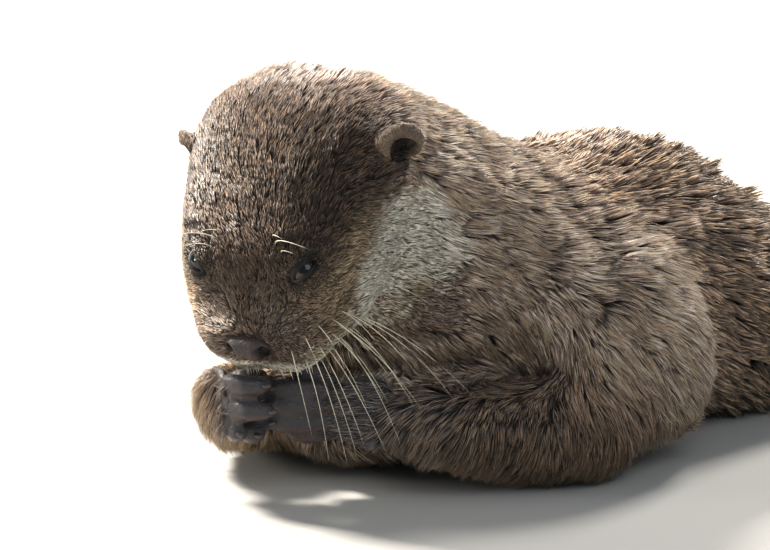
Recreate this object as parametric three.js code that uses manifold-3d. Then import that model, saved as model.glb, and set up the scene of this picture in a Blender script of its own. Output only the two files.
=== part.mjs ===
// A small-clawed otter crouched on its forearms, hands clasped under the bowed muzzle.
// Millimetres, +Z up, the face towards -Y and the tail towards +Y, the otter's own left at +X.
// The solids reach to the tips of the coat.
import * as THREE from 'three';
import { mergeVertices } from 'three/addons/utils/BufferGeometryUtils.js';
import Module from 'manifold-3d';

const wasm = await Module();
wasm.setup();

// ---------- driving dimensions ----------
const GAP = 0.3;                        // clear space between neighbouring solids
const FRONT_YAW = 23;                   // degrees that head and hands turn to the otter's left
const HEAD_PITCH = 56;                  // degrees that the face is bowed below the horizontal
const HEAD_ROLL = 3;                    // degrees that the left eye is carried higher
const EYE_LINE = [-9.4, -55, 83.7];     // point midway between the eyes, front frame
const EYE_R = 5.6;
const EYE_PLACE = { x: 19.2, s: -0.4, n: -2.4 };     // eyeball centre, head frame
const EAR = { wide: 8.6, tall: 9.6, thick: 3.6 };
const EAR_PLACE = { left: [42, -48.7, -2], right: [-38.4, -41.5, -7] };    // x, s and n in the head frame
const EAR_MOUTH = { wide: 5.6, tall: 6.2, deep: 3.8, ahead: 3.4, inward: 1 };
const NOSE = { s: 24.6, n: -12.6, wide: 8.8, tall: 5.2, deep: 5, tilt: 40 };
const FINGER_R = 4.2;
const TOE_R = 4;
const CLAW_R = 1.5;
const REACH = 1400;                     // edge of the blocks that cut the solids apart

const coat = new THREE.MeshStandardMaterial({ color: 0x6b5a4c, roughness: 0.8, metalness: 0 });
const skin = new THREE.MeshStandardMaterial({ color: 0x3f3b3b, roughness: 0.55, metalness: 0 });
const pad = new THREE.MeshStandardMaterial({ color: 0x3a3232, roughness: 0.4, metalness: 0 });
const eye = new THREE.MeshStandardMaterial({ color: 0x0d0b0a, roughness: 0.1, metalness: 0 });
const horn = new THREE.MeshStandardMaterial({ color: 0xb9ac9c, roughness: 0.5, metalness: 0 });

// ---------- frames ----------
const mirror = { left: 1, right: -1 };
const Z = new THREE.Vector3(0, 0, 1);
const radians = THREE.MathUtils.degToRad;
const world = (x, y, z) => new THREE.Vector3(x, y, z);
const front = (x, y, z) => world(x, y, z).applyAxisAngle(Z, radians(FRONT_YAW));
const frontSide = front(1, 0, 0);

// Head frame: x to the otter's left, s from the eyes towards the nose, n towards the crown.
const headAxis = front(0, -Math.cos(radians(HEAD_PITCH)), -Math.sin(radians(HEAD_PITCH)));
const headSide = frontSide.clone().applyAxisAngle(headAxis, radians(HEAD_ROLL));
const headUp = new THREE.Vector3().crossVectors(headAxis, headSide);
const head = (x, s, n) => front(...EYE_LINE)
  .addScaledVector(headSide, x)
  .addScaledVector(headAxis, s)
  .addScaledVector(headUp, n);

// ---------- solids ----------
function toSolid(geometry) {
  const bare = geometry.clone();
  bare.deleteAttribute('normal');
  bare.deleteAttribute('uv');
  const merged = mergeVertices(bare, 1e-4);
  const index = new Uint32Array(merged.index.array);
  const numbers = { numProp: 3, vertProperties: merged.attributes.position.array, triVerts: index };
  const solid = new wasm.Manifold(new wasm.Mesh(numbers));
  if (solid.volume() > 0) return solid;
  for (let i = 0; i < index.length; i += 3) {
    [index[i], index[i + 1]] = [index[i + 1], index[i]];
  }
  return new wasm.Manifold(new wasm.Mesh(numbers));
}

function toGeometry(solid) {
  const mesh = solid.getMesh();
  const geometry = new THREE.BufferGeometry();
  geometry.setAttribute('position', new THREE.BufferAttribute(new Float32Array(mesh.vertProperties), 3));
  geometry.setIndex(new THREE.BufferAttribute(new Uint32Array(mesh.triVerts), 1));
  geometry.computeVertexNormals();
  return geometry;
}

const join = (...solids) => solids.reduce((all, one) => all.add(one));

// What is left of a solid where its neighbours pass through, without loose slivers.
function clear(solid, neighbours) {
  const left = neighbours.reduce((all, one) => all.subtract(one), solid).intersect(aboveFloor);
  return left.decompose().reduce((a, b) => (b.volume() > a.volume() ? b : a));
}

// A value that runs smoothly through evenly spaced stations.
function ease(values, t) {
  return new THREE.SplineCurve(values.map((v, i) => new THREE.Vector2(i, v))).getPoint(t).y;
}

// A closed body along a spine. Each station is [centre, half width, rise, drop], listed from the
// head end. Both ends are rounded off over a share of the length. A higher power squares the section:
// square above the widest line, under (evenly spaced values) below it. A blunt body has its rings
// crowded towards its ends.
function body(stations, shape, grow = 0) {
  const { side, around, along, round, square = 2.2, under = [square], blunt = false } = shape;
  const spine = new THREE.CatmullRomCurve3(stations.map((k) => k[0]));
  const halves = stations.map((k) => k[1]);
  const rises = stations.map((k) => k[2]);
  const drops = stations.map((k) => k[3]);
  const geometry = new THREE.SphereGeometry(1, around, along);
  const at = geometry.attributes.position;
  const p = new THREE.Vector3();
  for (let i = 0; i < at.count; i += 1) {
    p.fromBufferAttribute(at, i);
    const t = blunt ? (1 - p.y) / 2 : Math.acos(THREE.MathUtils.clamp(p.y, -1, 1)) / Math.PI;
    const inset = Math.min(t, 1 - t) / round;
    const cap = inset < 1 ? Math.sqrt(Math.max(0, 1 - (1 - inset) ** 2)) : 1;
    const angle = Math.atan2(p.z, p.x);
    const c = Math.cos(angle);
    const d = Math.sin(angle);
    const power = d > 0 ? square : ease([under[0], ...under], t);
    const swell = (Math.abs(c) ** power + Math.abs(d) ** power) ** (-1 / power);
    const tangent = spine.getTangent(t);
    const across = side.clone().addScaledVector(tangent, -side.dot(tangent)).normalize();
    const up = new THREE.Vector3().crossVectors(across, tangent);
    const half = ease(halves, t) + grow;
    const tall = ease(d > 0 ? rises : drops, t) + grow;
    p.copy(spine.getPoint(t))
      .addScaledVector(across, c * swell * half * cap)
      .addScaledVector(up, d * swell * tall * cap)
      .addScaledVector(tangent, Math.sign(t - 0.5) * grow * (1 - cap));
    at.setXYZ(i, p.x, p.y, p.z);
  }
  return toSolid(geometry);
}

// A round limb or digit through points, with one radius for each.
function limb(points, radii, { around, along, round = 0.2, side }, grow = 0) {
  return body(points.map((k, i) => [k, radii[i], radii[i], radii[i]]),
    { side, around, along, round, square: 2, blunt: true }, grow);
}

// An ellipsoid with its half sizes along three given directions.
function ellipsoid(centre, axes, sizes, [around, along], grow = 0) {
  const geometry = new THREE.SphereGeometry(1, around, along);
  const frame = new THREE.Matrix4().makeBasis(
    axes[0].clone().multiplyScalar(sizes[0] + grow),
    axes[1].clone().multiplyScalar(sizes[1] + grow),
    axes[2].clone().multiplyScalar(sizes[2] + grow),
  );
  geometry.applyMatrix4(frame);
  geometry.translate(centre.x, centre.y, centre.z);
  return toSolid(geometry);
}

// A block that fills everything on the far side of a plane.
function beyond(point, normal) {
  const geometry = new THREE.BoxGeometry(REACH, REACH, REACH);
  geometry.translate(0, 0, REACH / 2);
  geometry.applyQuaternion(new THREE.Quaternion().setFromUnitVectors(Z, normal.clone().normalize()));
  geometry.translate(point.x, point.y, point.z);
  return toSolid(geometry);
}
const aboveFloor = beyond(world(0, 0, 0), Z);

// ---------- head, neck, trunk and tail as one run of flesh ----------
// Rows of the head: s, height of the widest line, half width, crown above it, throat below it.
const HEAD_ROWS = [
  [29, -18, 14.5, 5, 9],
  [23, -18, 21, 9, 14],
  [13, -17, 27, 14, 19],
  [2, -16, 32, 22, 26],
  [-10, -15, 36.5, 27, 32],
  [-25, -15, 39, 30.5, 34],
  [-40, -16, 41, 32, 39],
  [-54, -18, 41.5, 30, 41],
  [-67, -22, 39, 25.5, 40],
  [-80, -28, 30, 15, 32],
];
const headStations = HEAD_ROWS.map(([s, n, half, rise, drop]) => [head(0, s, n), half, rise, drop]);
const JAW = [3, 3, 2.8, 2.4, 2.2];        // the muzzle is square below, the throat round
const headShape = { side: headSide, around: 20, along: 16, round: 0.11, under: JAW };

const TRUNK = [
  [world(-3, -28, 100), 32, 20, 40],
  [world(-4, -5, 98), 39, 44, 54],
  [world(-4, 20, 90), 42, 43, 60],
  [world(-2, 45, 78), 46, 38, 62],
  [world(0, 70, 64), 49, 41, 62],
  [world(0, 95, 56), 51, 51, 58],
  [world(0, 120, 52), 50, 54, 54],
  [world(0, 145, 47), 50, 44, 49],
  [world(-4, 170, 39), 50, 29, 43],
  [world(-12, 195, 31), 48, 20, 36],
  [world(-20, 220, 26), 42, 22, 30],
  [world(-22, 243, 22), 31, 19, 24],
  [world(-25, 262, 16), 18, 15, 17],
];
const BELLY = [2.2, 2.2, 2.4, 3.2, 3.4, 3.2];    // the underside spreads on the floor
const BREAST = [
  [world(-19, -20, 15), 29, 12, 18],
  [world(-10, 4, 22), 36, 21, 25],
  [world(-3, 40, 32), 42, 34, 34],
  [world(0, 75, 34), 44, 36, 36],
];
const TAIL = [
  [world(-18, 236, 20), 21, 17, 22],
  [world(-27, 268, 14), 15.5, 13, 15.5],
  [world(-36, 308, 11), 12.5, 11, 12.5],
  [world(-40, 350, 10), 11, 10, 11.2],
  [world(-35, 392, 9), 9.5, 9, 10.2],
  [world(-22, 432, 8), 8.2, 8, 9],
  [world(-2, 468, 7), 6.8, 7, 7.8],
  [world(20, 498, 6), 5.2, 5.6, 6.6],
  [world(34, 513, 5), 3.4, 3.6, 5.4],
];
const X = world(1, 0, 0);
const core = (grow) => join(
  body(headStations, headShape, grow),
  body(TRUNK, { side: X, around: 20, along: 18, round: 0.08, under: BELLY }, grow),
  body(BREAST, { side: X, around: 14, along: 8, round: 0.25 }, grow),
  body(TAIL, { side: X, around: 10, along: 15, round: 0.07, square: 2 }, grow),
);

// The nose pad is tilted back from the muzzle, so that it faces forwards and up.
const noseFront = headAxis.clone().applyAxisAngle(headSide, radians(-NOSE.tilt));
const noseUp = new THREE.Vector3().crossVectors(noseFront, headSide);
const noseSolid = (grow) => ellipsoid(head(0, NOSE.s, NOSE.n), [headSide, noseFront, noseUp],
  [NOSE.wide, NOSE.deep, NOSE.tall], [12, 6], grow);
const eyeSolid = (sign, grow) => ellipsoid(head(sign * EYE_PLACE.x, EYE_PLACE.s, EYE_PLACE.n),
  [headSide, headAxis, headUp], [EYE_R, EYE_R, EYE_R], [8, 6], grow);

// The ear is a short round cup that opens forwards and outwards.
function earSolid(name, grow) {
  const sign = mirror[name];
  const out = headSide.clone().multiplyScalar(sign);
  const facing = headAxis.clone().multiplyScalar(0.72).addScaledVector(out, 0.62)
    .addScaledVector(headUp, 0.12).normalize();
  const wide = out.clone().addScaledVector(facing, -out.dot(facing)).normalize();
  const tall = new THREE.Vector3().crossVectors(facing, wide);
  const centre = head(...EAR_PLACE[name]);
  const shell = ellipsoid(centre, [wide, tall, facing], [EAR.wide, EAR.tall, EAR.thick], [12, 6], grow);
  if (grow > 0) return shell;
  const mouth = centre.clone().addScaledVector(facing, EAR_MOUTH.ahead)
    .addScaledVector(wide, -EAR_MOUTH.inward);
  return shell.subtract(ellipsoid(mouth, [wide, tall, facing],
    [EAR_MOUTH.wide, EAR_MOUTH.tall, EAR_MOUTH.deep], [8, 6]));
}

const coreGrown = core(GAP);
const pieces = new Map();     // node name -> [solid, material]

let flesh = core(0).intersect(aboveFloor).subtract(noseSolid(GAP));
for (const [name, sign] of Object.entries(mirror)) {
  flesh = flesh.subtract(eyeSolid(sign, GAP));
  pieces.set(`eye_${name}`, [eyeSolid(sign, 0), eye]);
  pieces.set(`ear_${name}`, [clear(earSolid(name, 0), [coreGrown]), coat]);
}
pieces.set('nose', [noseSolid(0), pad]);

// The two sides of a solid at a plane, the gap apart.
function part(solid, point, normal) {
  const step = normal.clone().normalize().multiplyScalar(GAP / 2);
  return [
    solid.intersect(beyond(point.clone().sub(step), normal.clone().negate())),
    solid.intersect(beyond(point.clone().add(step), normal)),
  ];
}

// Thin cuts part the run of flesh. The head ends behind the jaws and above the breast.
const [forward, back] = part(flesh, head(0, -64, 0), world(-0.15, 0.75, 0.3));
const [headFlesh, breast] = part(forward, world(-6, -24, 48), world(0, 0.2, -1));
pieces.set('head', [headFlesh, coat]);
pieces.set('breast', [breast, coat]);

// The other cuts, each a point and the way back along the spine.
const CUTS = [
  ['chest', world(0, 58, 74), world(0, 0.9, -0.42)],
  ['loin', world(0, 128, 50), world(0, 1, -0.1)],
  ['rump', world(0, 184, 40), world(-0.1, 1, -0.1)],
  ['tail_base', world(-24, 256, 16), world(-0.25, 1, -0.1)],
  ['tail_mid', world(-39, 340, 10), world(-0.05, 1, 0)],
  ['tail_tip', world(-20, 436, 8), world(0.5, 0.85, 0)],
];
let rest = back;
let named = 'neck';
for (const [next, point, normal] of CUTS) {
  const [ahead, behind] = part(rest, point, normal);
  pieces.set(named, [ahead, coat]);
  rest = behind;
  named = next;
}
pieces.set(named, [rest, coat]);

// ---------- digits and claws ----------
// A claw is a small nub on the back of a digit, near its tip.
function claw(tip, ahead, up, radius) {
  const centre = tip.clone().addScaledVector(ahead, -radius * 0.45).addScaledVector(up, radius * 0.9);
  const side = new THREE.Vector3().crossVectors(ahead, up).normalize();
  return (grow) => ellipsoid(centre, [side, ahead, up], [CLAW_R * 0.8, CLAW_R * 1.3, CLAW_R * 0.8],
    [6, 3], grow);
}

// A paw is its palm and five digits; each digit is a list of three points from knuckle to tip.
function paw(name, palm, digits, radius, backOf, obstacles) {
  const claws = [];
  const fingers = digits.map((points, i) => {
    const tip = points[2];
    const ahead = tip.clone().sub(points[1]).normalize();
    const up = backOf.clone().addScaledVector(ahead, -backOf.dot(ahead)).normalize();
    claws.push([`claw_${name}_${i + 1}`, claw(tip, ahead, up, radius)]);
    const side = new THREE.Vector3().crossVectors(ahead, up);
    return (grow) => limb(points, [radius * 0.9, radius, radius * 0.92],
      { around: 6, along: 5, round: 0.3, side }, grow);
  });
  const whole = (grow) => join(palm(grow), ...fingers.map((finger) => finger(grow)));
  for (const [clawName, nub] of claws) pieces.set(clawName, [nub(0), horn]);
  const beds = claws.map(([, nub]) => nub(GAP));
  pieces.set(name, [clear(whole(0), [...obstacles, ...beds]), skin]);
  return join(whole(GAP), ...beds);
}

// ---------- fore limbs ----------
const WRIST = { left: world(28, -11, 27), right: front(-36, -34, 36) };
const ELBOW = { left: world(64, 76, 17), right: world(-57, 34, 17) };
const FOREARM = {
  left: [world(56, 46, 18), world(44, 16, 21)],
  right: [world(-45, 2, 18), world(-31, -24, 21)],
};
const SHOULDER = { left: world(34, 76, 82), right: world(-37, 60, 80) };

function arm(name) {
  const elbow = ELBOW[name];
  const shoulder = SHOULDER[name];
  const middle = elbow.clone().lerp(shoulder, 0.55).add(world(6 * mirror[name], 3, 0));
  const behind = elbow.clone().add(world(-5 * mirror[name], 22, -10));
  const upper = (grow) => body([[shoulder, 17, 26, 30], [middle, 20, 32, 38], [behind, 18, 28, 28]],
    { side: X, around: 12, along: 9, round: 0.3, blunt: true }, grow);
  const fore = (grow) => limb([elbow, ...FOREARM[name], WRIST[name]], [21, 20, 18.5, 14],
    { around: 11, along: 8, round: 0.24, side: X }, grow);
  const upperGrown = upper(GAP);
  pieces.set(`upper_arm_${name}`, [clear(upper(0), [coreGrown]), coat]);
  pieces.set(`forearm_${name}`, [clear(fore(0), [coreGrown, upperGrown]), coat]);
  return join(upperGrown, fore(GAP));
}
const arms = { left: arm('left'), right: arm('right') };

const rightPalm = (grow) => body([
  [front(-38, -34, 36), 5, 9, 9],
  [front(-29, -46, 35), 6, 12, 11],
  [front(-20, -54, 34.5), 6, 12.5, 12],
], { side: front(0.75, 0.66, 0), around: 10, along: 6, round: 0.3, blunt: true }, grow);
const RIGHT_DIGITS = [
  [front(-27, -41, 37), front(-19, -42, 40.5), front(-10, -41, 41.5)],
  [front(-23, -52, 42.5), front(-15, -57.5, 42), front(-3.5, -51.5, 42)],
  [front(-23, -52, 34.8), front(-15, -58.5, 34), front(-1.2, -51.5, 33.5)],
  [front(-23, -51, 27.5), front(-17, -57, 26.5), front(-10.5, -55.5, 25.5)],
  [front(-25, -42, 27), front(-18, -44, 23), front(-11, -42, 22)],
];
const rightHand = paw('hand_right', rightPalm, RIGHT_DIGITS, FINGER_R, front(-0.35, -1, 0.15),
  [coreGrown, arms.right]);

const leftPalm = (grow) => body([
  [front(25, -15, 27), 6, 13.5, 12],
  [front(13, -22, 28), 6.5, 12.5, 11.5],
  [front(2, -29, 30), 6, 11.5, 10],
], { side: front(0.66, 0.75, 0), around: 10, along: 6, round: 0.3, blunt: true }, grow);
const LEFT_DIGITS = [
  [front(6, -23, 38), front(-2, -28, 43), front(-9, -31, 44)],
  [front(6, -27, 36), front(-3, -34, 37.5), front(-12, -40, 38)],
  [front(6, -27, 30.5), front(-3, -35, 31.5), front(-13, -42, 32)],
  [front(6, -27, 25), front(-3, -34.5, 25.5), front(-12, -41, 26)],
  [front(6, -23, 21.5), front(-1, -28, 21), front(-8, -33, 21)],
];
paw('hand_left', leftPalm, LEFT_DIGITS, FINGER_R, front(0.6, -0.9, 0.15),
  [coreGrown, rightHand, arms.left, arms.right]);

// ---------- hind limbs ----------
for (const [name, sign] of Object.entries(mirror)) {
  const hip = world(-16 + sign * 30, 218, 34);
  const knee = world(-9 + sign * 43, 178, 38);
  const heel = world(-20 + sign * 50, 240, 12);
  const thigh = (grow) => body([
    [hip, 21, 26, 28],
    [hip.clone().lerp(knee, 0.5), 24, 27, 29],
    [knee, 18, 20, 22],
  ], { side: world(sign * 0.3, 0, 1), around: 12, along: 8, round: 0.35, blunt: true }, grow);
  const shin = knee.clone().add(world(sign * 4, 4, -10));
  const calf = knee.clone().lerp(heel, 0.55).add(world(sign * 5, 0, -4));
  const shank = (grow) => limb([shin, calf, heel], [13, 13, 11],
    { around: 8, along: 7, side: X }, grow);
  const thighGrown = thigh(GAP);
  pieces.set(`thigh_${name}`, [clear(thigh(0), [coreGrown]), coat]);
  pieces.set(`shank_${name}`, [clear(shank(0), [coreGrown, thighGrown]), coat]);

  const sole = (grow) => body([
    [heel.clone().add(world(sign * 2, 3, -4)), 9, 8, 9],
    [heel.clone().add(world(sign * 11, -22, -5)), 11.5, 7.5, 8],
    [heel.clone().add(world(sign * 19, -42, -7)), 14.5, 5.5, 6],
    [heel.clone().add(world(sign * 23, -54, -7.8)), 12, 3.6, 4.6],
  ], { side: X, around: 10, along: 7, round: 0.22, square: 2.6, blunt: true }, grow);
  const toes = [];
  for (let i = 0; i < 5; i += 1) {
    const fan = (i - 2) * 5.6;
    const long = 23 - Math.abs(i - 2.2) * 3;
    const root = heel.clone().add(world(sign * (20 + fan * 0.85), -43 + fan * 0.35, -7.5));
    const bend = root.clone().add(world(sign * (3 + fan * 0.2), -long * 0.5, 0.6));
    const end = root.clone().add(world(sign * (6.5 + fan * 0.36), -long, -0.8));
    toes.push([root, bend, end]);
  }
  paw(`foot_${name}`, sole, toes, TOE_R, Z, [coreGrown, thighGrown, shank(GAP)]);
}

// ---------- the finished group, standing on its box's bottom centre ----------
const otter = new THREE.Group();
for (const [name, [solid, material]] of pieces) {
  const mesh = new THREE.Mesh(toGeometry(solid), material.clone());
  mesh.name = name;
  otter.add(mesh);
}
const box = new THREE.Box3().setFromObject(otter);
otter.position.set(-(box.min.x + box.max.x) / 2, -(box.min.y + box.max.y) / 2, -box.min.z);

export default otter;
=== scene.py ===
# A small-clawed otter crouched on its forearms: one skin, a coat of solid tufts, and its face.
# Metres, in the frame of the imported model. The face looks towards -Y, the floor is z = 0.
import math

import bmesh
import bpy
import numpy as np
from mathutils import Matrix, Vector
from mathutils.bvhtree import BVHTree


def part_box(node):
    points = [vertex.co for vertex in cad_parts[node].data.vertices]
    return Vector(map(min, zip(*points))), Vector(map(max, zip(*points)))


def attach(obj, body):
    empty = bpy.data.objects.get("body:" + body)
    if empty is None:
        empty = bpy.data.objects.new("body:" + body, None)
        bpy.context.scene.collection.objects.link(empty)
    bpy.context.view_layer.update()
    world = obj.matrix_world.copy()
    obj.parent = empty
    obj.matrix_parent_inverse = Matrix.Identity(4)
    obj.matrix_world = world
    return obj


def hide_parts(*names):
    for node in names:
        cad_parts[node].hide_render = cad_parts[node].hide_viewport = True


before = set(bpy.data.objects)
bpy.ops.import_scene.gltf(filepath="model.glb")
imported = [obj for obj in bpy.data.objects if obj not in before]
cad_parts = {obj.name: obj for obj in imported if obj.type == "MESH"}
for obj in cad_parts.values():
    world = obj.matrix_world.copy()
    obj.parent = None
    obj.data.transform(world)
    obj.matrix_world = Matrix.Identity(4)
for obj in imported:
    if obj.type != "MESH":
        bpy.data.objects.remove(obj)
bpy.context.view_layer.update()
MM = 0.001
rng = np.random.default_rng(7)


# ---------- small helpers on arrays of points ----------
def unit(v):
    return v / np.maximum(np.linalg.norm(v, axis=-1, keepdims=True), 1e-12)


def step(low, high, x):
    """0 below low, 1 above high, smooth between; low may be the larger."""
    t = np.clip((x - low) / (high - low), 0.0, 1.0)
    return t * t * (3.0 - 2.0 * t)


def hill(x, middle, spread):
    return np.exp(-(((x - middle) / spread) ** 2))


def mix(a, b, t):
    t = np.asarray(t)[..., None] if np.ndim(a) > np.ndim(t) or np.ndim(b) > np.ndim(t) else t
    return a + (b - a) * t


def from_line(points, a, b):
    """How far each point lies from the line that ends at a and b."""
    t = np.clip((points - a) @ (b - a) / ((b - a) @ (b - a)), 0.0, 1.0)
    return np.linalg.norm(points - a - t[:, None] * (b - a), axis=1)


def srgb(red, green, blue):
    """A linear colour from the familiar 0 to 255 screen values."""
    c = np.array([red, green, blue]) / 255.0
    return np.where(c <= 0.04045, c / 12.92, ((c + 0.055) / 1.055) ** 2.4)


def centre(node):
    return np.mean(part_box(node), axis=0)


# ---------- the head's own frame, from its eyes and nose ----------
NOSE_AHEAD, NOSE_BELOW = 25.0 * MM, 10.2 * MM       # the nose from the line through the eyeballs
BROW_AHEAD, BROW_OVER = 0.4 * MM, 1.9 * MM          # the frame's origin from the same line
EYE = {"left": centre("eye_left"), "right": centre("eye_right")}
EYE_MID = (EYE["left"] + EYE["right"]) / 2
SIDE = unit(EYE["left"] - EYE["right"])
to_nose = centre("nose") - EYE_MID
to_nose = unit(to_nose - SIDE * (to_nose @ SIDE))
over_nose = np.cross(to_nose, SIDE)
reach = math.hypot(NOSE_AHEAD, NOSE_BELOW)
AHEAD = (NOSE_AHEAD * to_nose + NOSE_BELOW * over_nose) / reach
CROWN = (NOSE_AHEAD * over_nose - NOSE_BELOW * to_nose) / reach
BROW_MID = EYE_MID + BROW_AHEAD * AHEAD + BROW_OVER * CROWN
HEAD_AXES = np.array([SIDE, AHEAD, CROWN])


def head_of(points):
    """Points in the head's frame (mm): to its left, ahead of the eyes, towards the crown."""
    return (np.asarray(points) - BROW_MID) @ HEAD_AXES.T / MM


def from_head(points):
    return BROW_MID + (np.asarray(points) * MM) @ HEAD_AXES


# ---------- camera, floor and light ----------
VIEW_TURN, VIEW_RISE, VIEW_FAR = math.radians(50.0), math.radians(13.0), 2.2
AIM = BROW_MID + np.array([-5.6, 62.4, -13.6]) * MM
FRAME_WIDTH = 261.8 * MM
FAR_CLIP = 20.0

FLOOR_SIZE, FLOOR_COLOUR, FLOOR_ROUGHNESS = 6.0, (0.38, 0.375, 0.36, 1.0), 0.9
SKY, SKY_STRENGTH = (0.86, 0.93, 1.0, 1.0), 0.33
SUNNY, MILD, COOL = (1.0, 0.93, 0.84), (1.0, 0.95, 0.88), (0.92, 0.96, 1.0)
LIT = np.array([0.0, -0.12, 0.05])                  # the spot that every lamp faces
# Soft square lamps: turn and rise about the otter (degrees), distance and size (m), watts, colour.
LAMPS = {
    "key": (-71.0, 44.0, 1.4, 0.25, 78.0, SUNNY),
    "left_low": (-28.0, 14.0, 1.3, 0.3, 7.0, SUNNY),
    "back_rim": (200.0, 42.0, 1.4, 0.3, 30.0, MILD),
    "front_fill": (75.0, 40.0, 1.6, 1.0, 7.0, COOL),
}


def new_object(name, data):
    """An object for a mesh, a lamp or a camera; a bmesh is made a mesh and freed."""
    if isinstance(data, bmesh.types.BMesh):
        mesh = bpy.data.meshes.new(name)
        data.to_mesh(mesh)
        data.free()
        data = mesh
    obj = bpy.data.objects.new(name, data)
    bpy.context.collection.objects.link(obj)
    return obj


def set_facing(obj, target, turn, rise, far):
    """Places a lamp or a camera round the target, and turns it to face it."""
    away = [math.sin(turn) * math.cos(rise), -math.cos(turn) * math.cos(rise), math.sin(rise)]
    place = target + far * np.array(away)
    obj.location = Vector(place)
    obj.rotation_euler = Vector(target - place).to_track_quat("-Z", "Y").to_euler()


def add_camera():
    data = bpy.data.cameras.new("camera")
    data.lens = data.sensor_width * VIEW_FAR / FRAME_WIDTH
    data.clip_end = FAR_CLIP
    camera = new_object("camera", data)
    set_facing(camera, AIM, VIEW_TURN, VIEW_RISE, VIEW_FAR)
    bpy.context.scene.camera = camera


def add_stage():
    bm = bmesh.new()
    bmesh.ops.create_grid(bm, x_segments=1, y_segments=1, size=FLOOR_SIZE)
    floor = new_object("floor", bm)
    paper, _, shader = new_material("floor_paper")
    fill(shader, {"Base Color": FLOOR_COLOUR, "Roughness": FLOOR_ROUGHNESS})
    floor.data.materials.append(paper)

    world = bpy.data.worlds.new("studio")
    bpy.context.scene.world = world
    world.use_nodes = True
    fill(world.node_tree.nodes["Background"], {"Color": SKY, "Strength": SKY_STRENGTH})
    for name, (turn, rise, far, size, power, colour) in LAMPS.items():
        data = bpy.data.lights.new(name, "AREA")
        data.size, data.energy, data.color = size, power, colour
        set_facing(new_object(name, data), LIT, math.radians(turn), math.radians(rise), far)
    bpy.context.scene.view_settings.view_transform = "Standard"


# ---------- materials ----------
def new_material(name):
    mat = bpy.data.materials.new(name)
    mat.use_nodes = True
    return mat, mat.node_tree, mat.node_tree.nodes["Principled BSDF"]


def fill(node, inputs):
    """Gives a node's inputs, by name or number: a socket is linked, and a constant is set."""
    for key, value in inputs.items():
        if isinstance(value, bpy.types.NodeSocket):
            node.id_data.links.new(value, node.inputs[key])
        else:
            node.inputs[key].default_value = value


def add_node(tree, kind, inputs, out, **settings):
    """A new node with these inputs and settings; its output of the given name or number."""
    node = tree.nodes.new("ShaderNode" + kind)
    for key, value in settings.items():
        setattr(node, key, value)
    fill(node, inputs)
    return node.outputs[out]


def place_on(tree):
    return add_node(tree, "TexCoord", {}, "Object")


def tone_on(tree):
    return add_node(tree, "Attribute", {}, "Color", attribute_name="tone")


def add_noise(tree, place, scale, detail=3.0, rough=0.5):
    inputs = {"Vector": place, "Scale": scale, "Detail": detail, "Roughness": rough}
    return add_node(tree, "TexNoise", inputs, "Fac")


def span(tree, value, low, high, top=1.0):
    """A value from 0 to top, brought to run from low to high."""
    ends = {"Value": value, "From Max": top, "To Min": low, "To Max": high}
    return add_node(tree, "MapRange", ends, "Result")


def shaded(tree, colour, value, low, high):
    """The colour times a value that is brought to run from low to high."""
    inputs = {0: colour, "Scale": span(tree, value, low, high)}
    return add_node(tree, "VectorMath", inputs, "Vector", operation="SCALE")


def bumped(tree, height, strength, distance):
    inputs = {"Height": height, "Strength": strength, "Distance": distance}
    return add_node(tree, "Bump", inputs, "Normal")


def coat_material():
    """Hair: each tuft carries its own colour, root to tip, broken up by a fine grain."""
    mat, tree, shader = new_material("coat_hair")
    grain = add_noise(tree, place_on(tree), 900.0)
    fill(shader, {
        "Base Color": shaded(tree, tone_on(tree), grain, 0.8, 1.2),
        "Roughness": 0.4, "Specular IOR Level": 0.5, "Sheen Weight": 0.04, "Sheen Roughness": 0.4,
    })
    return mat


FINGER_TURN = math.radians(-23.0)     # turns the line of the clasped fingers onto X
ALONG_FINGER = 0.22                   # wrinkles run across a finger, so they are drawn out this way
WRINKLE_DEPTH = 0.35 * MM


def skin_material():
    """Under the hair a dark felt of underfur, darkened further as painted shade between the tufts,
    and on hands and feet naked, wrinkled skin.
    """
    mat, tree, shader = new_material("hide")
    bare = add_node(tree, "Attribute", {}, "Fac", attribute_name="bare")
    place = place_on(tree)
    grain = add_noise(tree, place, 700.0, 4.0, 0.6)
    blotch = add_noise(tree, place, 120.0, 3.0, 0.6)
    cells = {"Vector": place, "Scale": 1700.0}
    edges = add_node(tree, "TexVoronoi", cells, "Distance", feature="DISTANCE_TO_EDGE")
    turned = {"Vector": place, "Rotation": (0.0, 0.0, FINGER_TURN),
              "Scale": (1.0, ALONG_FINGER, ALONG_FINGER)}
    folds = add_noise(tree, add_node(tree, "Mapping", turned, "Vector"), 520.0, 4.0, 0.65)
    wrinkles = {0: folds, 1: 2.2, 2: span(tree, edges, 0.0, 0.3, 0.25)}
    naked = add_node(tree, "Math", wrinkles, "Value", operation="MULTIPLY_ADD")
    height = add_node(tree, "Mix", {0: bare, 2: grain, 3: naked}, 0)
    toned = shaded(tree, tone_on(tree), grain, 0.75, 1.2)
    fill(shader, {
        "Base Color": shaded(tree, toned, blotch, 0.75, 1.25),
        "Normal": bumped(tree, height, 0.7, WRINKLE_DEPTH),
        "Roughness": span(tree, bare, 0.85, 0.27), "Specular IOR Level": 0.4,
    })
    return mat


def nose_material():
    mat, tree, shader = new_material("nose_leather")
    place = place_on(tree)
    blotch = add_noise(tree, place, 160.0, 3.0, 0.6)
    pebbles = add_node(tree, "TexVoronoi", {"Vector": place, "Scale": 1100.0}, "Distance")
    fill(shader, {
        "Base Color": shaded(tree, tone_on(tree), blotch, 0.7, 1.3),
        "Normal": bumped(tree, pebbles, 0.7, 0.3 * MM),
        "Roughness": 0.58, "Specular IOR Level": 0.35,
    })
    return mat


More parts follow.
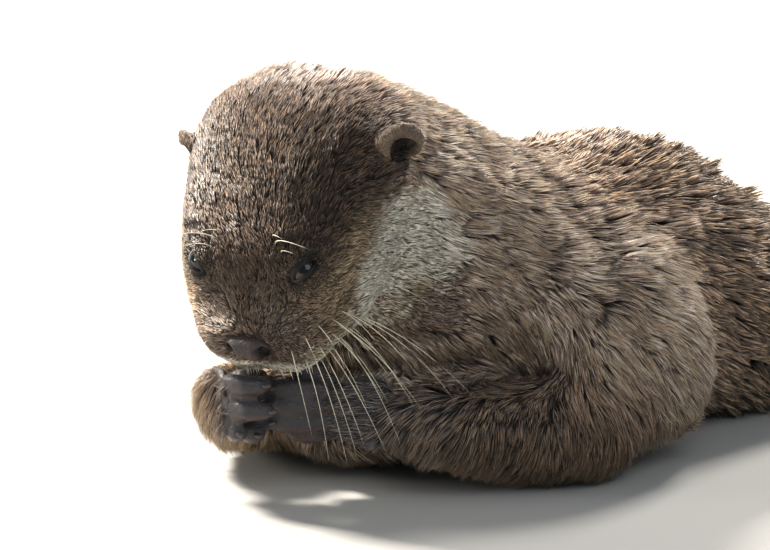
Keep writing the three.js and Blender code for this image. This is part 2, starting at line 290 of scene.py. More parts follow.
def eye_material():
    mat, tree, shader = new_material("eye_ball")
    fleck = add_noise(tree, place_on(tree), 1200.0)
    fill(shader, {
        "Base Color": shaded(tree, tone_on(tree), fleck, 0.7, 1.3), "Roughness": 0.1,
        "Specular IOR Level": 0.3, "Coat Weight": 0.2, "Coat Roughness": 0.04,
    })
    return mat


def plain_material(name, colour, rough, grain_scale, low, high, bump=0.0, shine=0.5):
    """One colour broken up by a grain, with an optional bump of the same grain."""
    mat, tree, shader = new_material(name)
    grain = add_noise(tree, place_on(tree), grain_scale)
    base = tree.nodes.new("ShaderNodeRGB").outputs[0]
    base.default_value = (*colour, 1.0)
    fill(shader, {"Base Color": shaded(tree, base, grain, low, high),
                  "Roughness": rough, "Specular IOR Level": shine})
    if bump:
        fill(shader, {"Normal": bumped(tree, grain, 0.5, bump)})
    return mat


# ---------- the skin ----------
FLESH = [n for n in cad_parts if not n.startswith(("eye", "claw", "nose"))]
WELD = 0.01 * MM            # points of a solid nearer than this are one
CLOSE_GAP = 0.3 * MM        # each solid is swelled by this, so that the cuts between them close
VOXEL = 0.85 * MM
SMOOTH_BODY, SMOOTH_ALL = 90, 7
SKIN_FACES = 150000

PALMS = (-5.5, -1.4, -4.0)          # between the clasped hands: right, up and to the front (mm)
PALMS_SIZE = (7.5, 8.5, 5.0)        # half sizes of what fills the clasp (mm)

ACROSS_HANDS = unit((centre("hand_left") - centre("hand_right")) * [1, 1, 0])


def applied(obj):
    """The object's mesh with its modifiers taken in."""
    depsgraph = bpy.context.evaluated_depsgraph_get()
    mesh = bpy.data.meshes.new_from_object(obj.evaluated_get(depsgraph))
    old = obj.data
    obj.modifiers.clear()
    obj.data = mesh
    bpy.data.meshes.remove(old)


def read(items, name, kind=np.float32, width=3):
    """One property of all a mesh's items, as rows of an array."""
    values = np.empty(len(items) * width, kind)
    items.foreach_get(name, values)
    return values.reshape(-1, width)


def coords(mesh):
    return read(mesh.vertices, "co").astype(float)


class Net:
    """The edges of a mesh, for blurring any values that its vertices carry."""

    def __init__(self, mesh):
        edges = read(mesh.edges, "vertices", np.int32, 2)
        self.a = np.concatenate([edges[:, 0], edges[:, 1]])
        self.b = np.concatenate([edges[:, 1], edges[:, 0]])
        self.count = len(mesh.vertices)
        self.degree = np.maximum(np.bincount(self.a, minlength=self.count), 1).astype(float)

    def mean(self, values):
        if values.ndim == 1:
            return np.bincount(self.a, values[self.b], self.count) / self.degree
        return np.stack([self.mean(values[:, k]) for k in range(values.shape[1])], 1)

    def blur(self, values, times):
        for _ in range(times):
            values = values + (self.mean(values) - values) * 0.5
        return values


def near_box(points, node, margin):
    """1 inside a node's box, falling to 0 at the margin outside it."""
    low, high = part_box(node)
    outside = np.maximum(np.maximum(np.array(low) - points, points - np.array(high)), 0.0)
    return step(margin, 0.0, np.linalg.norm(outside, axis=1))


def fine_parts(points):
    """How far a point belongs to the small shapes: hands, feet, ears and eyes."""
    fine = np.zeros(len(points))
    for part, margin in (("hand", 4 * MM), ("foot", 4 * MM), ("ear", 3 * MM), ("eye", 3 * MM)):
        for side in EYE:
            fine = np.maximum(fine, near_box(points, f"{part}_{side}", margin))
    return fine


def add_palms(bm):
    """The pads of the palms, seen between the fingers of the clasped hands."""
    ball = bmesh.ops.create_uvsphere(bm, u_segments=24, v_segments=16, radius=1.0)
    toward = unit(np.array([math.sin(VIEW_TURN), -math.cos(VIEW_TURN), 0.0]))
    right = np.array([math.cos(VIEW_TURN), math.sin(VIEW_TURN), 0.0])
    axes = np.array([right, [0.0, 0.0, 1.0], toward])
    middle = (centre("hand_left") + centre("hand_right")) / 2 + (np.array(PALMS) * MM) @ axes
    for vert in ball["verts"]:
        vert.co = middle + (np.array(vert.co) * PALMS_SIZE * MM) @ axes


def solids_of(names):
    """The welded solids of these nodes, in one bmesh."""
    bm = bmesh.new()
    for name in names:
        bm.from_mesh(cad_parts[name].data)
    bmesh.ops.remove_doubles(bm, verts=bm.verts, dist=WELD)
    return bm


def build_skin():
    """The solids of flesh fused into one closed, rounded skin, finest where shapes are small."""
    bm = solids_of(FLESH + ["eye_left", "eye_right"])
    add_palms(bm)
    bm.normal_update()
    for vert in bm.verts:
        vert.co += vert.normal * CLOSE_GAP
    skin = new_object("skin", bm)
    remesh = skin.modifiers.new("fuse", "REMESH")
    remesh.mode = "VOXEL"
    remesh.voxel_size = VOXEL
    applied(skin)

    co = coords(skin.data)
    fine = fine_parts(co)
    add_group(skin, "soft", 1.0 - fine)
    add_smooth(skin, SMOOTH_BODY, "soft")
    add_smooth(skin, SMOOTH_ALL)
    ahead = head_of(co)[:, 1]
    face = step(-60.0, -30.0, ahead) * near_box(co, "head", 3 * MM)
    add_group(skin, "spare", np.clip(1.0 - np.maximum(fine, 0.85 * face), 0.0, 1.0))
    thin = skin.modifiers.new("thin", "DECIMATE")
    thin.vertex_group = "spare"
    thin.ratio = SKIN_FACES / (2 * len(skin.data.polygons))
    applied(skin)
    skin.vertex_groups.clear()
    return skin


GROUP_LEVELS = 20           # weights are rounded to so many levels, and like ones are set together


def add_group(obj, name, weights):
    group = obj.vertex_groups.new(name=name)
    level = np.round(weights * GROUP_LEVELS).astype(int)
    for k in range(1, GROUP_LEVELS + 1):
        members = np.flatnonzero(level == k)
        if len(members):
            group.add(members.tolist(), k / GROUP_LEVELS, "REPLACE")


def add_smooth(obj, times, group=""):
    smooth = obj.modifiers.new("round", "SMOOTH")
    smooth.factor = 0.5
    smooth.iterations = times
    smooth.vertex_group = group


# ---------- what each point of the skin belongs to ----------
# For each kind, the solids that carry it, and the depth of its coat over the skin (mm).
PARTS = {
    "back": ("chest loin", 5.5), "ear": ("ear_left ear_right", 0.5),
    "foot": ("foot_left foot_right", 0.2), "forearm": ("forearm_left forearm_right", 3.2),
    "hand": ("hand_left hand_right", 0.2), "head": ("head", 2.2), "neck": ("neck breast", 4.5),
    "rump": ("rump", 5.5), "shank": ("shank_left shank_right", 3.0),
    "shoulder": ("upper_arm_left upper_arm_right", 4.5), "tail": ("tail_base tail_mid", 3.5),
    "tail_tip": ("tail_tip", 1.6), "thigh": ("thigh_left thigh_right", 4.5),
}
KINDS = sorted(PARTS)
KIND = {node: kind for kind, (nodes, _) in PARTS.items() for node in nodes.split()}
COAT_DEPTH = {kind: depth for kind, (_, depth) in PARTS.items()}


def nearest_solids(points):
    """For each point the index in FLESH of the solid nearest to it, and the spot on that solid."""
    verts, faces, owner = [], [], []
    for k, name in enumerate(FLESH):
        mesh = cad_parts[name].data
        base = len(verts)
        verts.extend(vert.co.copy() for vert in mesh.vertices)
        faces.extend([base + i for i in face.vertices] for face in mesh.polygons)
        owner.extend([k] * len(mesh.polygons))
    tree = BVHTree.FromPolygons(verts, faces)
    found = [tree.find_nearest(Vector(p)) for p in points]
    return np.array([owner[hit[2]] for hit in found]), np.array([hit[0] for hit in found])


class Skin:
    """The skin's arrays: places, normals, and its shares in each kind of part."""

    def __init__(self, obj):
        self.obj = obj
        self.net = Net(obj.data)
        owner, self.shell = nearest_solids(coords(obj.data))
        kinds = np.array([KINDS.index(KIND[n]) for n in FLESH])[owner]
        shares = self.net.blur(np.eye(len(KINDS))[kinds], 6)
        self.share = {kind: shares[:, k] for k, kind in enumerate(KINDS)}
        self.move_to(coords(obj.data))

    def move_to(self, co):
        self.co = co
        self.obj.data.vertices.foreach_set("co", co.astype(np.float32).ravel())
        self.obj.data.update()
        self.normal = read(self.obj.data.vertex_normals, "vector").astype(float)
        self.head = head_of(co)

    def push(self, amount):
        """Moves each point out along its normal by its amount, in millimetres."""
        self.move_to(self.co + self.normal * amount[:, None] * MM)

    def weigh(self, table):
        return sum(self.share[kind] * table[kind] for kind in KINDS)

    def head_parts(self):
        """Each point's place in the head's frame (mm), on one side: across, ahead, over."""
        return np.abs(self.head[:, 0]), self.head[:, 1], self.head[:, 2]


def fill_out(skin):
    """Gives back, smoothly, the volume that the rounding took from the solids."""
    lost = np.sum((skin.shell - skin.co) * skin.normal, 1) / MM
    small = fine_parts(skin.co)
    skin.push(skin.net.blur(np.clip(lost, -2.0, 9.0) * (1 - small), 60))


def smooth_field(points, size, seed):
    """Three soft random values at each point, from a few plane waves of about the given size."""
    waves = np.random.default_rng(seed)
    out = np.zeros((len(points), 3))
    for _ in range(9):
        k = unit(waves.normal(size=3)) * 2 * math.pi / (size * waves.uniform(0.6, 1.6))
        out += np.cos(points @ k[:, None] + waves.uniform(0, 2 * math.pi, 3)) / 3.0
    return out


def ripple(skin):
    """Low, soft folds of the loose hide over neck, arms and trunk."""
    loose = dict.fromkeys(KINDS, 0.0)
    loose.update(neck=0.8, shoulder=1.0, forearm=0.6, back=0.7, rump=0.8, thigh=0.8, tail=0.3)
    stretched = skin.co * [1.0, 0.8, 1.0]
    skin.push(skin.weigh(loose) * smooth_field(stretched, 20 * MM, 21)[:, 0] * 0.6)


# Folds of the hide on the left side, from the middle of the chest (mm), and their depths: the one
# that parts neck from shoulder, and the one between the neck and the arm under it.
FOLDS = [([[28.5, -17.6, 42.1], [37.8, -17.6, 31.1], [50.6, -17.9, 19.7], [60.5, -16.6, 9.1]], 5.0),
         ([[23.2, -69.1, -14.8], [31.4, -55.5, -11.9], [38.8, -37.7, -7.4]], 3.0)]


def fold_gaps(points):
    """For each fold on either side, how far each point lies from its line (mm), and its depth."""
    for line, depth in FOLDS:
        for mirror in (1.0, -1.0):
            bends = centre("chest") / MM + np.array(line) * [mirror, 1.0, 1.0]
            gap = np.full(len(points), 1e9)
            for a, b in zip(bends[:-1], bends[1:]):
                gap = np.minimum(gap, from_line(points / MM, a, b))
            yield gap, depth


def crease(skin):
    """Presses the folds in and raises a soft roll beside each."""
    for gap, depth in list(fold_gaps(skin.co)):
        skin.push(depth * (0.45 * hill(gap, 9.0, 4.0) - hill(gap, 0.0, 3.4)))


def pelt_right_palm(skin):
    """The back of the right hand is furred up to the knuckles, like the forearm behind it."""
    ahead = (skin.co - centre("hand_right")) @ ACROSS_HANDS / MM
    furred = skin.share["hand"] * step(0.0, -9.0, ahead) * (skin.co[:, 0] < centre("hand_left")[0])
    skin.share["forearm"] = skin.share["forearm"] + furred
    skin.share["hand"] = skin.share["hand"] - furred


def sink_under_coat(skin):
    """Lowers the skin by the depth of its coat, which thins out towards the nose."""
    depth = skin.weigh(COAT_DEPTH)
    depth = depth - skin.share["head"] * 1.1 * step(-25.0, 12.0, skin.head[:, 1])
    skin.push(-skin.net.blur(depth, 12))
    skin.move_to(skin.net.blur(skin.co, 2))


# ---------- the face ----------
NOSE_TILT = math.radians(24.0)      # the pad faces forwards and up
NOSE_OUT = np.array([0.0, math.cos(NOSE_TILT), math.sin(NOSE_TILT)])
NOSE_UP = np.array([0.0, -math.sin(NOSE_TILT), math.cos(NOSE_TILT)])
PAD = (8.7, 4.1, 4.6)               # the pad's half sizes across, outwards and upwards (mm)


def nose_ways(head):
    """Each point's place from the nose's middle: across, outwards and up along the pad (mm)."""
    v = head - head_of(centre("nose"))
    return v[:, 0], v @ NOSE_OUT, v @ NOSE_UP


# Upper lip's edge on the left side, from under the nose to the mouth's corner, head frame.
LIP = np.array([
    [0, 28, -24], [8, 26, -28], [15, 23, -31], [22, 17, -34], [28, 9, -38], [31, 0, -44]], float)


def under_lip(head):
    """How far a point lies under the lip's edge (mm)."""
    return np.interp(head[:, 1], LIP[::-1, 1], LIP[::-1, 2]) - head[:, 2]


def shape_face(skin):
    """Muzzle pads, sockets, brows, lips and folds, on both sides alike."""
    x, s, n = skin.head_parts()
    on_head = skin.share["head"]
    pads = 1.9 * hill(x, 13.0, 9.0) * hill(s, 19.0, 9.0) * hill(n, -21.0, 9.0)
    split = -1.3 * hill(x, 0.0, 1.6) * step(20.0, 25.0, s) * step(-14.0, -19.0, n)
    socket = -0.9 * hill(x, 13.0, 5.5) * hill(s, 8.0, 6.0) * step(-14.0, -4.0, n)
    orbit = 1.1 * hill(x, 21.0, 6.5) * hill(s, 0.0, 6.5) * step(-12.0, -4.0, n)
    brow = 1.2 * hill(x, 19.0, 8.0) * hill(s, -9.0, 5.5) * step(-10.0, 0.0, n)
    bridge = -0.8 * hill(x, 0.0, 11.0) * hill(s, 2.0, 9.0) * step(-10.0, 0.0, n)
    jowl = 1.6 * hill(x, 27.0, 9.0) * hill(s, 2.0, 11.0) * hill(n, -24.0, 10.0)
    fold = -hill(x - 25.0 - 0.75 * (-4.0 - s), 0.0, 2.6) * hill(s, -8.0, 5.0) * hill(n, 0.0, 7.0)
    skin.push(on_head * (pads + split + socket + orbit + brow + bridge + jowl + fold))
    below = under_lip(skin.head)
    along = step(-4.0, 3.0, skin.head[:, 1]) * on_head
    skin.push(-3.0 * along * step(0.0, 2.5, below) * step(16.0, 8.0, below))
    skin.push(0.8 * hill(below, -1.2, 1.6) * along)


def seat_nose(skin):
    """Brings the muzzle level with the edge of the nose pad, and sinks it under the pad."""
    across, out, up = nose_ways(skin.head)
    q = np.hypot(across / PAD[0], up / PAD[2])
    brim = np.where(up > 0, -0.7, -1.6) * (up / PAD[2] / np.maximum(q, 0.1)) ** 2
    level = np.where(q < 0.9, -4.0, brim)
    beside = step(np.where(up > 0, 2.4, 1.5), 1.1, q)
    weight = beside * step(12.0, 9.0, np.abs(out)) * skin.share["head"]
    skin.move_to(from_head(skin.head + ((level - out) * weight)[:, None] * NOSE_OUT))


KNUCKLE_PITCH = 7.0         # from one bone of the left hand's back to the next (mm)


def shape_hands(skin):
    """Low ridges over the bones of the left hand's back."""
    outward = step(1.0, 0.6, np.abs(skin.normal[:, 2])) * skin.share["hand"]
    behind = (skin.co - centre("hand_left")) @ ACROSS_HANDS / MM
    height = (skin.co[:, 2] - centre("hand_left")[2]) / MM
    back = step(-6.0, 2.0, behind) * step(24.0, 12.0, behind)
    skin.push(1.3 * outward * back * np.cos(2 * math.pi * height / KNUCKLE_PITCH))


# ---------- ears ----------
# The left ear's hollow, head frame: the way it opens, its upper end from the middle of the ear
# (mm), the way it runs down, and how far (mm).
EAR_OPENS, EAR_TOP = np.array([0.62, 0.66, 0.10]), np.array([0.6, 1.8, -2.6])
EAR_DOWN, EAR_RUN = np.array([0.0, 0.6, -0.36]), 7.0
EAR_FOOT, EAR_FOOT_REACH = np.array([40.0, -44.0, -23.0]), (15.0, 6.0)  # just under the left ear
EAR_SHADE = np.array([39.0, -48.5, -15.5])                              # where the hair just under the ear is darkened as painted shade


def ear_hollow(head, side):
    """How far each point is from the hollow's line and ahead of it (mm), and the way it opens."""
    sign = np.array([1.0 if side == "left" else -1.0, 1.0, 1.0])
    opens = unit(EAR_OPENS * sign)
    v = head - head_of(centre("ear_" + side)) - EAR_TOP * sign
    ahead = v @ opens
    flat = v - ahead[:, None] * opens
    down = unit(EAR_DOWN - (EAR_DOWN @ opens) * opens)
    flat -= np.clip(flat @ down, 0.0, EAR_RUN)[:, None] * down
    return np.linalg.norm(flat, axis=1), ahead, opens


def shape_ears(skin):
    """A cup with a thin rim over it: the hollow goes in towards the head and opens downwards."""
    for side in EYE:
        wide, ahead, opens = ear_hollow(skin.head, side)
        front = step(0.0, 0.5, (skin.normal @ HEAD_AXES.T) @ opens) * (np.abs(ahead) < 12.0)
        near_ear = np.clip(2.5 * skin.share["ear"], 0.4, 1.0)
        skin.push(-3.4 * near_ear * front * step(5.2, 2.8, wide))


def ease_ear_foot(skin):
    """Smooths the ridge that runs down from the foot of each ear."""
    away = np.linalg.norm(np.stack(skin.head_parts(), 1) - EAR_FOOT, axis=1)
    near = step(*EAR_FOOT_REACH, away) * (1 - skin.share["ear"])
    rise = np.sum((skin.net.blur(skin.co, 60) - skin.co) * skin.normal, 1) / MM
    skin.push(near * rise)


# ---------- eyes and lids ----------
EYE_R = 5.2
LID_LENGTH, LID_OVER, LID_UNDER = 4.8, 0.9, 1.25    # half length of the slit, its height each way
SLIT_BED, LID_BED = 4.6, 5.9        # the skin's radius under the open slit, and round it (mm)
SOCKET_RING, CLEAR_RING = (5.8, 2.4), (5.8, 2.1)    # half sizes of the open and the hairless slit
EYE_FIELD = 14.0                    # how far from its middle an eye changes the face (mm)
FACES_SIDE = 0.3                    # past this cosine a point is in front of the eyeball
EYE_OUT, EYE_ALONG = np.array([0.47, 0.25, 0.85]), np.array([0.61, -0.79, 0.05])
BLACK, IRIS_EDGE, IRIS = srgb(5, 4, 4), srgb(22, 17, 15), srgb(44, 30, 22)


def eye_frame(side):
    """The slit's direction, its upward direction and the way the eye faces, in the head frame."""
    sign = 1.0 if side == "left" else -1.0
    out = unit(EYE_OUT * [sign, 1.0, 1.0])
    along = EYE_ALONG * [sign, 1.0, 1.0]
    along = unit(along - out * (along @ out))
    rise = np.cross(out, along) * sign
    return along, rise, out


def fit_sockets(skin):
    """Wraps the skin round the eyeball, and sinks it where the slit is open."""
    for side in EYE:
        along, rise, out = eye_frame(side)
        v = skin.head - head_of(EYE[side])
        r = np.maximum(np.linalg.norm(v, axis=1), 1e-6)
        facing = (v @ out) / r
        q = np.hypot((v @ along) / SOCKET_RING[0], (v @ rise) / SOCKET_RING[1])
        wrapped = r + (np.maximum(r, LID_BED) - r) * step(-0.15, 0.25, facing)
        opened = np.minimum(wrapped, SLIT_BED + 6.0 * step(0.95, 1.9, q))
        target = np.where(facing > FACES_SIDE, opened, wrapped)
        target = np.where((r < EYE_FIELD) & (facing > -0.15), target, r)
        skin.head = head_of(EYE[side]) + v * (target / r)[:, None]
    skin.move_to(from_head(skin.head))


def finished(name, bm, colours=None, rounds=0, wall=0.0):
    """A smooth object from a bmesh, with colours, a wall and rounding where they are asked."""
    obj = new_object(name, bm)
    if colours is not None:
        set_tone(obj, colours)
    if wall:
        solid = obj.modifiers.new("wall", "SOLIDIFY")
        solid.thickness = wall
        solid.offset = -1.0
    if rounds:
        soften = obj.modifiers.new("round", "SUBSURF")
        soften.levels = soften.render_levels = rounds
    smooth_shade(obj)
    return obj


def smooth_shade(obj):
    obj.data.polygons.foreach_set("use_smooth", np.ones(len(obj.data.polygons), bool))


def set_tone(obj, colours):
    """Linear colours, one for each vertex."""
    layer = obj.data.color_attributes.new("tone", "FLOAT_COLOR", "POINT")
    rgba = np.ones((len(obj.data.vertices), 4), np.float32)
    rgba[:, :3] = colours
    layer.data.foreach_set("color", rgba.ravel())


def shape_ball(bm, points):
    """Moves the points of a ball to their places, with every face outwards."""
    for vert, p in zip(bm.verts, points):
        vert.co = p
    bm.normal_update()
    bmesh.ops.recalc_face_normals(bm, faces=bm.faces)


def eyeball(side):
    """A ball with a raised cornea; pupil and iris face the way the eye looks."""
    along, rise, out = eye_frame(side)
    bm = bmesh.new()
    bmesh.ops.create_uvsphere(bm, u_segments=40, v_segments=24, radius=EYE_R)
    basis = np.array([along, rise * (1.0 if side == "left" else -1.0), out])
    local = np.array([v.co for v in bm.verts])
    facing = local[:, 2] / EYE_R
    local *= (1.0 + 0.05 * step(0.72, 0.95, facing))[:, None]
    shape_ball(bm, from_head(head_of(EYE[side]) + local @ basis))
    pupil = step(0.93, 0.955, facing)[:, None]
    iris = (step(0.70, 0.76, facing) * (1.0 - 0.55 * hill(facing, 0.74, 0.05)))[:, None]
    tone = IRIS_EDGE * (1 - iris) + IRIS * iris
    return finished("eyeball_" + side, bm, tone * (1 - pupil) + BLACK * pupil)


# Rings of a lid from its wet edge outwards: distance from the slit, and radius about the eye (mm).
LID_RINGS = [(0.0, 5.1), (0.05, 5.4), (0.35, 5.8), (0.9, 6.1), (1.6, 6.15), (2.3, 5.95),
             (3.2, 5.3), (4.2, 4.5)]
LID_STEPS = 44
LID_WALL = 0.5 * MM


def lid_loops(side):
    """The places of the points of each ring of the lids."""
    along, rise, out = eye_frame(side)
    turn = np.linspace(0.0, 2 * math.pi, LID_STEPS, endpoint=False)
    over = np.sin(turn) > 0
    a0 = LID_LENGTH * np.cos(turn)
    b0 = np.where(over, LID_OVER, LID_UNDER) * np.sin(turn) * np.abs(np.sin(turn)) ** 0.35
    ways = unit(np.stack([np.cos(turn) * 0.75, np.sin(turn)], 1))
    for gap, radius in LID_RINGS:
        widen = gap * np.where(over, 0.65, 1.0)
        a, b = a0 + ways[:, 0] * widen, b0 + ways[:, 1] * widen
        arc = np.hypot(a, b)
        swing = arc / EYE_R
        flat = (along * a[:, None] + rise * b[:, None]) / np.maximum(arc, 1e-9)[:, None]
        spots = out * np.cos(swing)[:, None] + flat * np.sin(swing)[:, None]
        yield from_head(head_of(EYE[side]) + spots * radius)


def lids(side):
    """Both lids as one ring round the slit, extruded outwards from its edge."""
    loops = list(lid_loops(side))
    bm = bmesh.new()
    ring = [bm.verts.new(p) for p in loops[0]]
    edges = [bm.edges.new((ring[i - 1], ring[i])) for i in range(LID_STEPS)]
    for places in loops[1:]:
        grown = bmesh.ops.extrude_edge_only(bm, edges=edges)["geom"]
        follow = {}
        for vert in (g for g in grown if isinstance(g, bmesh.types.BMVert)):
            others = (edge.other_vert(vert) for edge in vert.link_edges)
            follow.update({other: vert for other in others if other in ring})
        ring = [follow[vert] for vert in ring]
        for vert, p in zip(ring, places):
            vert.co = p
        edges = [g for g in grown if isinstance(g, bmesh.types.BMEdge) and g.is_boundary]
    bmesh.ops.recalc_face_normals(bm, faces=bm.faces)
    outside = sum((f.calc_center_median() - Vector(EYE[side])).dot(f.normal) for f in bm.faces)
    if outside < 0:
        bmesh.ops.reverse_faces(bm, faces=bm.faces)
    return finished("lids_" + side, bm, rounds=1, wall=LID_WALL)


# ---------- nose and claws ----------
NOSE_BLACK, NOSE_PINK = srgb(50, 43, 43), srgb(84, 62, 56)
SQUARE = 2.6                # 2 makes the pad's outline an ellipse, and more squares it
NOSTRIL_OUT, NOSTRIL_IN, CLEFT_IN = 6.2, 3.4, 0.6       # its place from the middle; depths (mm)


def nose_pad():
    """A rounded pad with a comma nostril each side and a cleft under its middle."""
    bm = bmesh.new()
    bmesh.ops.create_uvsphere(bm, u_segments=96, v_segments=64, radius=1.0)
    x, f, u = np.array([v.co for v in bm.verts]).T
    swell = (np.abs(x) ** SQUARE + np.abs(u) ** SQUARE) ** (1 / SQUARE)
    square = np.where(swell > 1e-6, np.hypot(x, u) / np.maximum(swell, 1e-6), 1.0)
    narrow = 1.0 - 0.20 * step(0.1, -1.0, u)
    thick = PAD[1] * np.sign(f) * np.abs(f) ** 0.7
    spots = np.stack([PAD[0] * x * square * narrow, thick, PAD[2] * u * square], 1)
    side, up = np.abs(spots[:, 0]), spots[:, 2]
    front = step(-0.2, 0.35, f)
    hole = 1.5 * hill(side, 6.3, 1.7) * hill(up, 0.0, 2.1)
    comma = hill(side - 6.0 - 0.4 * (up + 1.6), 0.0, 1.0) * hill(up, -2.0, 1.6)
    opening = np.clip(hole + comma, 0.0, 1.0)
    wing = hill(np.hypot(side - NOSTRIL_OUT, up), 3.4, 0.9)
    cleft = hill(spots[:, 0], 0.0, 0.6) * step(0.0, -2.5, up)
    spots[:, 1] += front * (0.25 * wing - NOSTRIL_IN * opening - CLEFT_IN * cleft)
    local = spots @ np.array([[1.0, 0, 0], NOSE_OUT, NOSE_UP])
    shape_ball(bm, from_head(head_of(centre("nose")) + local))
    pink = (step(1.2, -2.0, up) * step(6.0, 2.5, side) * 0.7)[:, None]
    tone = NOSE_BLACK * (1 - pink) + NOSE_PINK * pink
    # Painted shade: the nostrils' openings are darkened nearly to black.
    tone = tone * (1 - 0.97 * (step(0.1, 0.6, opening) * front)[:, None])
    return finished("nose_pad", bm, tone)


CLAWS = sorted(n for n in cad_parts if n.startswith("claw"))


def claws():
    """Small blunt nubs, rounded from the solids that mark their places."""
    return finished("claws", solids_of(CLAWS), rounds=2)


# ---------- markings, painted shade and painted sunlight ---
BROWN, DARK, GREY_BROWN = srgb(100, 62, 38), srgb(54, 39, 29), srgb(102, 90, 82)
SHOULDER, TAN, MUZZLE = srgb(190, 169, 154), srgb(172, 150, 120), srgb(128, 112, 100)
CREAM, THROAT = srgb(236, 229, 211), srgb(150, 138, 122)
FLANK, BELLY, TAIL_TONE = srgb(88, 70, 56), srgb(126, 110, 94), srgb(94, 75, 61)
# The first colour on the next line is a bright rufous that stands for painted sunlight on the right
# forearm.
SUNLIT_RUFOUS, NAKED, PALM = srgb(208, 172, 138), srgb(58, 55, 58), srgb(88, 71, 67)
HAND_HAIR, WRIST = srgb(112, 110, 114), srgb(126, 122, 122)
# The second colour on the next line is painted shade, for the ears' hollows and just under the
# ears.
EAR_RIM, EAR_SHADE_COLOUR, EYE_MASK = srgb(136, 118, 102), srgb(26, 20, 17), srgb(34, 28, 25)

# Edge of the pale cheek on either side: ahead and over, in the head frame (mm).
CHEEK_EDGE = np.array([
    [-41, -18], [-46, -23], [-46, -30], [-44, -38], [-41, -45], [-36, -50], [-30, -53], [-25, -53],
    [-19, -51], [-12, -46], [-5, -41], [2, -37], [9, -34], [14, -29], [10, -22], [3, -15],
    [-6, -9], [-18, -9], [-28, -12], [-36, -15]], float)


def depth_in(points, ring):
    """How far inside a closed outline each point lies; negative outside."""
    nearest = np.full(len(points), 1e9)
    inside = np.zeros(len(points), bool)
    for a, b in zip(ring, np.roll(ring, -1, 0)):
        nearest = np.minimum(nearest, from_line(points, a, b))
        crosses = (a[1] > points[:, 1]) != (b[1] > points[:, 1])
        at = a[0] + (points[:, 1] - a[1]) * (b[0] - a[0]) / (b[1] - a[1] if b[1] != a[1] else 1.0)
        inside ^= crosses & (points[:, 0] < at)
    return np.where(inside, nearest, -nearest)


def eye_masks_and_ear_shade(skin):
    """How much of the dark mask round the eyes, and of painted shade in the hollow of each ear,
    each point has.
    """
    masks, hollow_shade = [], np.zeros(len(skin.co))
    for side in EYE:
        along, rise, _ = eye_frame(side)
        v = skin.head - head_of(EYE[side])
        ring = np.hypot((v @ along - 1.5) / 8.0, (v @ rise) / 3.6)
        masks.append(0.8 * skin.share["head"] * step(1.5, 0.7, ring))
        wide, ahead, _ = ear_hollow(skin.head, side)
        hollow_shade = np.maximum(hollow_shade, step(5.4, 1.6, wide) * step(12.0, 8.0, np.abs(ahead)))
    return masks, hollow_shade


